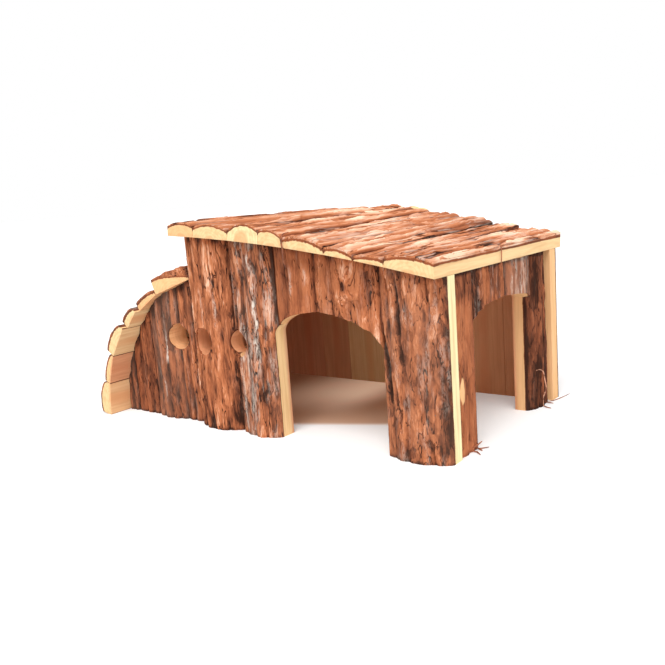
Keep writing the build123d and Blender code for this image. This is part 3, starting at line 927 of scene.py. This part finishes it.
sideSlabs = {
    "side_front_post": {
        "bark": (15.5, 17.5, 16), "furrows": (0.55,), "kind": "smooth", "seed": 61,
        "tone": (1, 0.03, 0.25), "light": 0.43, "contrast": 0.45, "rough": 0.8,
        "scars": ((7.5, 50, 3.2, 9, 1),), "shadows": ((15, 20, 112, 260, 0.6),),
    },
    "side_lintel_front": {
        "bark": (15, 17, 14), "furrows": (0.44,), "kind": "plated", "seed": 63, "slot": "dark_bark",
        "tone": (0.6, 0.2, 0.35), "light": 0.25, "contrast": 0.8, "crowd": "left",
    },
    "side_lintel_middle": {
        "bark": (14, 17, 14), "furrows": (0.34, 0.68), "seed": 66, "slot": "dark_bark",
        "tone": (0.6, 0.2, 0.25), "light": 0.36, "contrast": 0.8,
    },
    "side_lintel_back": {
        "bark": (15, 21, 16), "furrows": (0.31, 0.64), "seed": 68, "slot": "dark_bark",
        "tone": (0, 0.45, 0.1), "light": 0.29, "contrast": 0.6, "crowd": "right",
    },
    "side_back_post": {
        "bark": (11, 18.5, 12), "furrows": (0.33, 0.61), "seed": 71, "slot": "dark_bark",
        "tone": (1, 0.03, 0.5), "light": 0.31, "contrast": 0.5, "rough": 1.2, "cutWoodShade": 0.3,
        "wrap": (0, 3), "calmSides": (2.5, 0.8),
    },
}

for name, settings in sideSlabs.items():
    # under the side roof edge the painted shade is narrower and darker
    settings = {"eavesShade": (4, 0.9), **settings}
    dressUpright(name, settings, axis=1, way=1, face=sideX, door=sideDoor, doorFrom=frontY)
print("right wall dressed")

# Roof, lean-to cover and gable: slabs that lie from front to back. back is how many times
# as high a slab's bark is at the far end, and plumb trims the last one upright.

roofSlabs = {
    "roof_slab_1": {
        "bark": (8.5, 12.5, 9.5), "furrows": (0.56,), "back": 0.96, "seed": 81, "tone": (0.9, 0.2, 0),
        "contrast": 0.8, "rough": 0.8, "fresh": 0, "shadows": ((11, 3.5, -20, 190, 1.2),),
    },
    "roof_slab_2": {
        "bark": (8.5, 12.5, 8), "furrows": (0.3, 0.64), "back": 1.1, "seed": 83,
        "tone": (0.8, 0.35, 0), "contrast": 0.7, "rough": 0.7, "nicks": ((6, 34, 92, -0.3, 1.1, 2.4),),
    },
    "roof_slab_3": {
        "bark": (8, 15.5, 10.5), "furrows": (0.4, 0.74), "back": 1.13, "seed": 85,
        "tone": (0.85, 0.3, 0.05), "light": (0.57, 0.6), "fresh": 0.6, "pith": (16, 1),
        "nicks": ((2, 17, 55, -0.4, 0.9, 1.8),),
    },
    "roof_slab_4": {
        "bark": (11, 13, 8.5), "furrows": (0.48,), "back": 1.37, "seed": 87,
        "tone": (0.85, 0.3, 0.05), "scars": ((13, 229, 8, 7, 1),),
    },
    "roof_slab_5": {
        "bark": (7.5, 10.8, 6), "furrows": (0.28, 0.52, 0.79), "back": 1.43, "seed": 89,
        "tone": (0.85, 0.45, 0), "skin": 2.4,
    },
    "roof_slab_6": {
        "bark": (5.5, 7.4, 3.5), "furrows": (0.42, 0.72), "back": 2, "seed": 91,
        "tone": (0.8, 0.45, 0), "skin": 2.2, "shadows": ((2, 3, 60, 200, 0.7),),
    },
    "roof_slab_7": {
        "bark": (3.5, 6.4, 6), "furrows": (0.34, 0.66), "back": 1.92, "seed": 93,
        "tone": (0.85, 0.45, 0), "skin": 2.2, "shadows": ((3, 5, 110, 300, 0.9),),
    },
    "roof_slab_8": {
        "bark": (8, 12.5, 11.6), "furrows": (0.24, 0.47, 0.76), "back": 1.05, "seed": 96,
        "tone": (0.85, 0.45, 0), "skin": 2.2, "wrap": (1.2, 0), "calmSides": (0.8, 3),
        "plumb": 0.17,
    },
}
roofUsual = {
    "kind": "stringy", "slot": "roof_bark", "light": 0.59, "contrast": 1.15, "fresh": 0.3,
    "scale": (2.2, 2.2, 5.0), "grime": (0.9, 0.9),
}

slats = {
    "lean_to_slat_1": {
        "bark": (12.5, 15.5, 9), "furrows": (0.38, 0.7), "seed": 101, "tone": (0.45, 0.2, 0.3),
        "skin": 1.2, "woodShade": 0.35, "fresh": 0.25, "seam": 1,
    },
    "lean_to_slat_2": {
        "bark": (7.5, 8.8, 5), "furrows": (0.53,), "seed": 103, "tone": (0.45, 0.2, 0.3), "skin": 1.2,
        "woodShade": 0.85, "fresh": 0.1, "seam": 1,
    },
    "lean_to_slat_3": {
        "bark": (10, 12.6, 6.5), "furrows": (0.32, 0.66), "seed": 105, "tone": (0.45, 0.2, 0.4),
        "skin": 1.6, "fresh": 0.35, "seam": 1,
    },
    "lean_to_slat_4": {
        "bark": (9, 10, 5.5), "furrows": (0.5,), "seed": 107, "tone": (0.45, 0.2, 0.4), "skin": 2,
        "fresh": 0.4,
    },
    "lean_to_slat_5": {
        "bark": (8, 8.6, 5), "furrows": (0.43,), "seed": 109, "tone": (0.5, 0.2, 0.4), "skin": 2,
        "woodShade": 0.25,
    },
    "lean_to_slat_6": {
        "bark": (14, 15, 12), "furrows": (0.29, 0.62), "seed": 111, "tone": (0.7, 0.15, 0.25),
        "light": 0.4, "skin": 1.4, "slant": 8.8, "thick": ((4, 40, 60, 8.5),),
    },
}
slatUsual = {"kind": "fibrous", "slot": "slat_wood", "light": 0.45}


def dressAcross(slabs, lineX, lineZ, usual):
    # slabs on a broken line of x and z, each as long as its solid in the frame
    usual = {"wrap": (1.2, 1.2), "calmEnds": (9.0, 1.5), "woodShade": 0.2, "skin": 1.5, **usual}
    for number, (name, settings) in enumerate(slabs.items()):
        low, high = corners(name)
        start = np.array([lineX[number], low[1], lineZ[number]])
        reach = np.array([lineX[number + 1] - lineX[number], 0, lineZ[number + 1] - lineZ[number]])
        width, length = np.linalg.norm(reach), high[1] - low[1]
        slab = slabAt(start, reach, (0, 1, 0), width, length, {**usual, **settings})
        slant = slab.get("slant", 0) / width
        dressSlab(name, slab, low=lambda s: slant * s)


dressAcross(roofSlabs, roofX, roofZ, roofUsual)
dressAcross(slats, slatX, slatZ, slatUsual)

gable = {
    "bark": (9, 13, 9), "furrows": (0.35, 0.68), "kind": "fibrous", "seed": 121,
    "slot": "grey_bark", "tone": (0.5, 0.2, 0.3), "woodShade": 1, "light": 0.45,
}
low, high = corners("gable_slab")
gableWidth = roofTop(high[0]) - house["seat"] - low[2]
gableSlab = slabAt((high[0], low[1], low[2]), (0, 0, 1), (0, 1, 0), gableWidth, high[1] - low[1], gable)
dressSlab("gable_slab", gableSlab)
print("roof, slats and gable dressed")

# Loose fibres of bark: tubes round a smooth path, thin at both ends

fibres = {
    "loop": {
        "radius": 0.5, "tint": "pink",
        "path": (
            (193, 68.5, 0.6), (194.2, 66.8, 10), (194.8, 71.5, 16.5), (194.2, 71, 23), (193.4, 71, 28.5),
            (192.8, 69.8, 32.5), (191, 66.5, 34.6), (188.8, 61.5, 33.8), (187, 58.5, 31),
        ),
    },
    "footBack": {
        "radius": 0.35,
        "path": ((188, 84, 0.6), (193.5, 89, 0.6), (196.7, 100.4, 0.6), (198.9, 118.2, 0.6)),
    },
    "footMiddle": {"radius": 0.5, "path": ((189, 78.5, 1.5), (193, 80, 1.2), (197.5, 81.2, 0.6))},
    "footFront": {
        "radius": 0.5, "path": ((190, 72, 1.5), (194, 68.3, 1), (197.5, 66.4, 0.8), (201.5, 65.7, 0.6)),
    },
    "cornerUp": {"radius": 0.6, "path": ((190, -65.5, 3), (193.5, -63, 4.8), (196, -58.5, 7.2))},
    "cornerLong": {
        "radius": 0.45,
        "path": ((189, -60, 1.6), (193, -57.8, 0.8), (195.6, -54.9, 0.7), (198.5, -51.7, 0.8)),
    },
    "cornerShort": {"radius": 0.6, "path": ((190, -57.5, 1.5), (194, -59.2, 0.8), (197.3, -61.2, 0.8))},
    "cornerLow": {
        "radius": 0.6,
        "path": ((189.5, -67, 1.2), (194.5, -66, 0.9), (197, -67.5, 0.8), (200.2, -70.4, 0.8)),
    },
    "roofGap": {
        "radius": 0.6,
        "path": (
            (58.6, -104, 173.5), (59.2, -112, 172.5), (59.8, -115.3, 168), (60.2, -115.2, 161),
            (60, -114.8, 153), (59.5, -112, 146),
        ),
    },
    "roofSide": {
        "radius": 0.45,
        "path": (
            (189, -6, 151.5), (193.5, -9, 150.5), (194.5, -10.3, 147), (194.6, -11, 141),
            (194.2, -11.4, 135.5),
        ),
    },
}
fibreMesh = {"sides": 4, "stepsPerPoint": 10, "tip": 0.3, "aside": (0.61, 0.37, 0.7)}


def fibreMaterial(tone):
    material, tree = newMaterial(tone + "Fibre")
    share = remap(tree, speckles(tree, 260.0), 0.35, 0.65)
    tint = mixColour(tree, share, woodColours["brown"], woodColours[tone])
    plug(tree, tree.nodes["Principled BSDF"], {"Base Color": tint, "Roughness": 0.8})
    return material


fibreMaterials = {tone: fibreMaterial(tone) for tone in ("red", "pink")}


def smoothPath(path, share):
    # cubic through the points: each part leaves its ends along the line of their
    # neighbours. Also the direction there.
    place = share * (len(path) - 1)
    first = np.minimum(place.astype(int), len(path) - 2)
    part = (place - first)[:, None]
    slope = np.gradient(path, axis=0)
    here, there = path[first], path[first + 1]
    cube = 2 * part**3 - 3 * part**2
    centre = here * (1 + cube) - there * cube + slope[first] * (part**3 - 2 * part**2 + part)
    centre = centre + slope[first + 1] * (part**3 - part**2)
    ahead = slope[first] * (1 - part) + slope[first + 1] * part
    return centre, ahead / np.linalg.norm(ahead, axis=1)[:, None]


def layFibre(name, settings):
    # a block drawn along the path, with its square rings pulled to circles
    path = np.array(settings["path"], float)
    count, sides = fibreMesh["stepsPerPoint"] * len(path), fibreMesh["sides"]
    steps, faces = blockSkin(sides, count, sides)
    share = steps[:, 1] / count
    centre, ahead = smoothPath(path, share)
    across = np.cross(ahead, fibreMesh["aside"])
    across /= np.linalg.norm(across, axis=1)[:, None]
    out = np.cross(across, ahead)
    square = steps[:, (0, 2)] / (sides / 2) - 1
    ring = np.abs(square).max(axis=1) / np.maximum(np.hypot(*square.T), 1e-9)
    thickness = fibreMesh["tip"] + (1 - fibreMesh["tip"]) * np.sqrt(np.sin(math.pi * share))
    square = square * ring[:, None] * settings["radius"] * thickness[:, None]
    piece = meshFrom(name + "_fibre", centre + square[:, :1] * across + square[:, 1:] * out, faces)
    piece.data.materials.append(fibreMaterials[settings.get("tint", "red")])
    piece.data.shade_smooth()
    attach(piece, "root")


for name, settings in fibres.items():
    layFibre(name, settings)
print("loose fibres laid")

# Brads keep their solids and get dull wire


def wireMaterial():
    material, tree = newMaterial("dullWire")
    noise = speckles(tree, 900.0)
    tint = mixColour(tree, noise, colour(0.16, 0.12, 0.10), colour(0.34, 0.29, 0.26))
    inputs = {"Base Color": tint, "Metallic": 1.0, "Roughness": remap(tree, noise, 0.3, 0.7, 0.3, 0.5)}
    plug(tree, tree.nodes["Principled BSDF"], inputs)
    return material


dullWire = wireMaterial()
for name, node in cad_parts.items():
    if name.endswith("brads"):
        node.data.materials.clear()
        node.data.materials.append(dullWire)

# Floor, light and camera

studio = {
    "floorSide": 60.0,  # metres
    "floorColour": colour(0.86, 0.86, 0.86),
    "floorGlow": 0.2,  # added for the camera alone, so that the open floor is white
    "world": 0.42,
    "key": {"from": (0.3, -0.9, 1.4), "strength": 2.1, "softness": 34},
    "top": {"from": (-0.4, -0.1, 1.6), "strength": 0.6, "softness": 70},
    "side": {"from": (1.0, -0.5, 0.45), "strength": 1.05, "softness": 50},
}
# painted shadow on the floor under the house, warm brown as if lit by the wood round it, with a painted
# pool of paler light where the side door's light falls
shade = {
    "colour": colour(0.74, 0.48, 0.33),
    "lightPool": colour(0.95, 0.76, 0.64),
    "soft": 7.0,
    "front": {"slope": 0.42, "start": -71.0},  # the lintel's shadow, y on x
    "right": (125.0, 85.0),
    "paleX": ((55.0, 5.0), (-98.0, 20.0)),
    "paleY": (-42.0, 50.0),
    # the painted pool's glow: warm, and seen by the camera alone
    "glow": colour(0.9, 0.62, 0.44),
    "poolGlowShare": 1.9,
}


def seenDirectly(tree):
    # 1 where the camera looks, also in a reflection or through glass, and 0 for light
    path = addNode(tree, "LightPath").outputs
    seen = calc(tree, "MAXIMUM", path["Is Camera Ray"], path["Is Glossy Ray"])
    return calc(tree, "MAXIMUM", seen, path["Is Transmission Ray"])


def shadeOnFloor(tree):
    # how far a place is in the painted shadow under the house, and how far it is in the painted pool of
    # the side door's light
    scaled = {0: addNode(tree, "TexCoord").outputs["Object"], 3: 1 / mm}
    place = addNode(tree, "VectorMath", scaled, operation="SCALE").outputs[0]
    apart = addNode(tree, "SeparateXYZ", {0: place})
    x, y, soft = apart.outputs[0], apart.outputs[1], shade["soft"]
    front = calc(tree, "MULTIPLY_ADD", x, shade["front"]["slope"], shade["front"]["start"])
    under = remap(tree, calc(tree, "SUBTRACT", y, front), -soft, soft)
    for value, start, stop in (
        (y, frontY, frontY + soft),
        (y, backY + soft, backY),
        (x, slatX[0], slatX[0] + 2 * soft),
        (x, *shade["right"]),
    ):
        under = calc(tree, "MULTIPLY", under, remap(tree, value, start, stop))
    lit = calc(tree, "MULTIPLY", *(remap(tree, x, *ends) for ends in shade["paleX"]))
    return under, calc(tree, "MULTIPLY", lit, remap(tree, y, *shade["paleY"]))


def floorMaterial():
    material, tree = newMaterial("paleFloor")
    tree.nodes.clear()
    under, lit = shadeOnFloor(tree)
    # painted shadow: under the house the floor's colour gives way to a warm brown, paler in the painted
    # pool of light
    dark = mixColour(tree, lit, shade["colour"], shade["lightPool"])
    tint = mixColour(tree, under, studio["floorColour"], dark)
    diffuse = addNode(tree, "BsdfDiffuse", {"Color": tint})
    # painted light: for the camera a glow brightens the pool of light, is gone from the rest of the
    # painted shadow, and stays plain on the open floor
    lightPool = calc(tree, "MULTIPLY", calc(tree, "MULTIPLY", lit, under), shade["poolGlowShare"])
    share = calc(tree, "SUBTRACT", lightPool, under)
    strength = calc(tree, "MULTIPLY_ADD", share, studio["floorGlow"], studio["floorGlow"])
    glowColour = mixColour(tree, under, colour(1, 1, 1), shade["glow"])
    glow = addNode(tree, "Emission", {"Color": glowColour, "Strength": strength})
    seen = addNode(tree, "AddShader", {0: diffuse.outputs[0], 1: glow.outputs[0]})
    plain = addNode(tree, "BsdfDiffuse", {"Color": studio["floorColour"]})
    both = {0: seenDirectly(tree), 1: plain.outputs[0], 2: seen.outputs[0]}
    mixed = addNode(tree, "MixShader", both)
    addNode(tree, "OutputMaterial", {"Surface": mixed.outputs[0]})
    return material


side = studio["floorSide"] / 2
mesh = bpy.data.meshes.new("floor")
mesh.from_pydata([(-side, -side, 0), (side, -side, 0), (side, side, 0), (-side, side, 0)], [], [range(4)])
mesh.materials.append(floorMaterial())
floor = addObject("floor", mesh)

world = bpy.data.worlds.new("paleRoom")
bpy.context.scene.world = world
world.use_nodes = True
tree = world.node_tree
strength = remap(tree, seenDirectly(tree), 0.0, 1.0, studio["world"], 1.0)
plug(tree, tree.nodes["Background"], {"Color": colour(1, 1, 1), "Strength": strength})

for name in ("key", "top", "side"):
    lamp = bpy.data.lights.new(name + "Light", "SUN")
    lamp.energy, lamp.angle = studio[name]["strength"], math.radians(studio[name]["softness"])
    lampObject = addObject(name + "Light", lamp)
    lampObject.rotation_euler = Vector(studio[name]["from"]).to_track_quat("Z", "Y").to_euler()

shot = {"place": (456.41, -570.75, 200.0), "turn": (79.886, 4.120, 37.033), "lens": 41.84}
cameraData = bpy.data.cameras.new("camera")
cameraData.lens = shot["lens"]
camera = addObject("camera", cameraData)
camera.location = Vector(shot["place"]) * mm
camera.rotation_euler = Euler([math.radians(turn) for turn in shot["turn"]])
bpy.context.scene.camera = camera
bpy.context.scene.view_settings.view_transform = "Standard"
print("floor, light and camera set")
